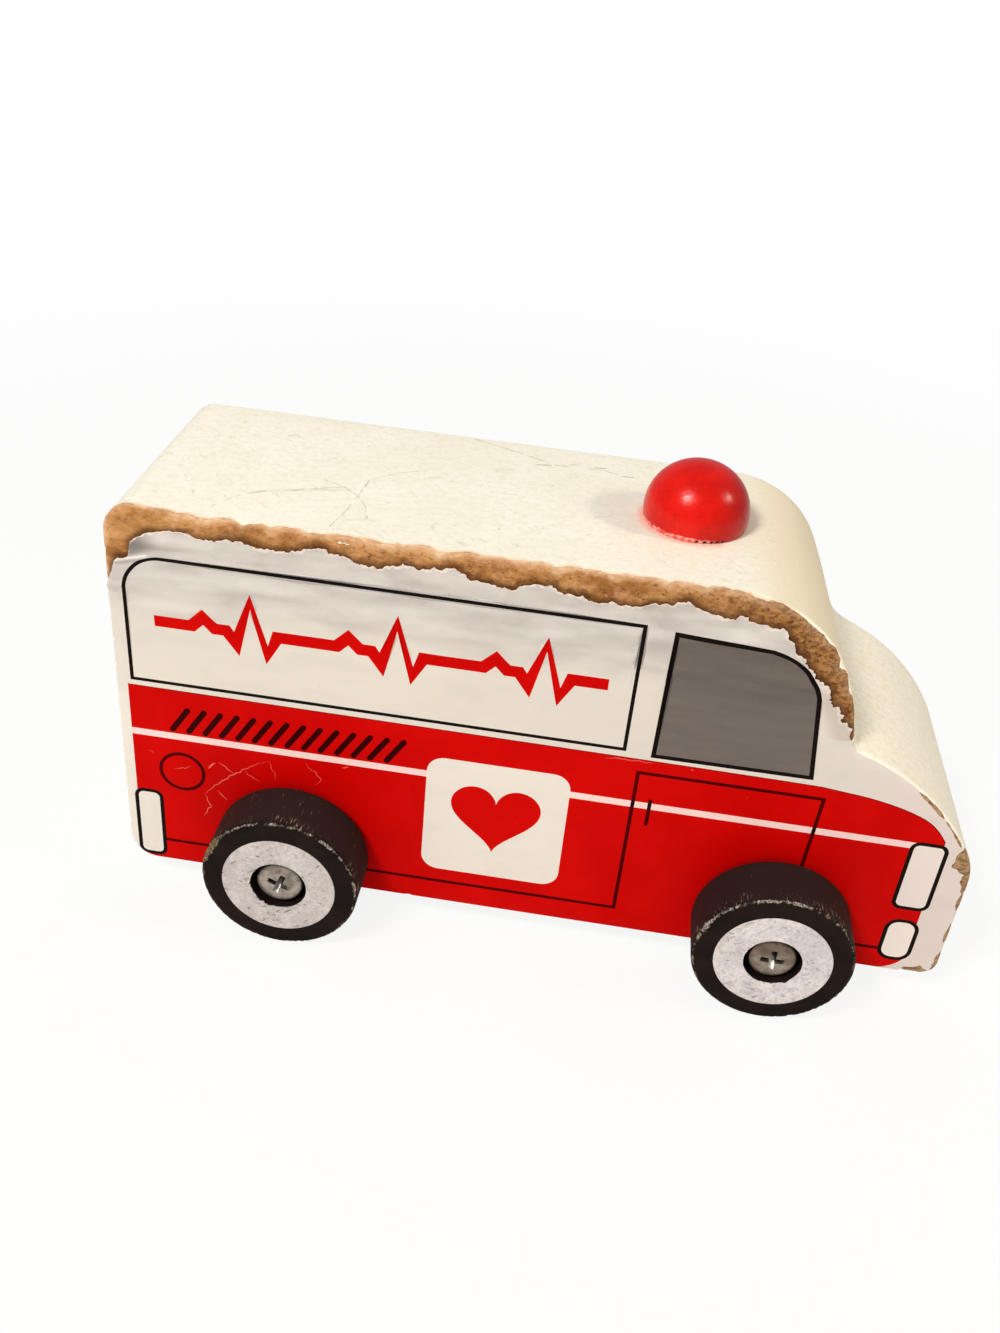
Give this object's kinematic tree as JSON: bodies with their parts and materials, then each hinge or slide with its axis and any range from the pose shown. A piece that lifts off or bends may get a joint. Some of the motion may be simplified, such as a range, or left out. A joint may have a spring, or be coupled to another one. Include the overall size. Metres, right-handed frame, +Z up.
{
  "type": "toy ambulance",
  "caption": "Toy ambulance van: a fibreboard block with a stepped bonnet, printed side labels, screwed-on wheels that spin freely and a round red roof beacon.",
  "frame": {"origin": "centre of the footprint on the floor, under the middle of the block", "axes": "+X towards the front of the toy, +Y towards its left side, +Z up"},
  "size_m": [0.145, 0.0672, 0.0857],
  "materials": {
    "painted_fibreboard": "cream-white satin paint over the band, bare tan fibreboard where it is worn",
    "printed_paper": "laminated print, red and off-white, torn along the top of the right side",
    "beacon_paint": "glossy red paint",
    "dowel_wood": "plain beech",
    "wheel_paint": "near-black satin paint, chipped at the rims",
    "hub_paper": "pale grey paper with dark specks",
    "screw_steel": "zinc-plated, dulled",
    "washer_steel": "zinc-plated"
  },
  "bodies": {
    "block": {"body_block": "painted_fibreboard", "label_right": "printed_paper", "label_left": "printed_paper", "beacon": "beacon_paint", "beacon_dowel": "dowel_wood", "axle_screw_rear_right": "screw_steel", "axle_screw_front_right": "screw_steel", "axle_screw_rear_left": "screw_steel", "axle_screw_front_left": "screw_steel", "washer_rear_right": "washer_steel", "washer_front_right": "washer_steel", "washer_rear_left": "washer_steel", "washer_front_left": "washer_steel"},
    "rear_right_wheel": {"wheel_rear_right": "wheel_paint", "hub_label_rear_right": "hub_paper"},
    "front_right_wheel": {"wheel_front_right": "wheel_paint", "hub_label_front_right": "hub_paper"},
    "rear_left_wheel": {"wheel_rear_left": "wheel_paint", "hub_label_rear_left": "hub_paper"},
    "front_left_wheel": {"wheel_front_left": "wheel_paint", "hub_label_front_left": "hub_paper"}
  },
  "joints": [
    {"name": "rear_right_wheel_spin", "type": "hinge", "parent": "block", "child": "rear_right_wheel", "pos_m": [-0.042, -0.0284, 0.0135], "axis": [0, 1, 0], "continuous": true},
    {"name": "front_right_wheel_spin", "type": "hinge", "parent": "block", "child": "front_right_wheel", "pos_m": [0.042, -0.0284, 0.0135], "axis": [0, 1, 0], "continuous": true},
    {"name": "rear_left_wheel_spin", "type": "hinge", "parent": "block", "child": "rear_left_wheel", "pos_m": [-0.042, 0.0284, 0.0135], "axis": [0, 1, 0], "continuous": true},
    {"name": "front_left_wheel_spin", "type": "hinge", "parent": "block", "child": "front_left_wheel", "pos_m": [0.042, 0.0284, 0.0135], "axis": [0, 1, 0], "continuous": true}
  ]
}
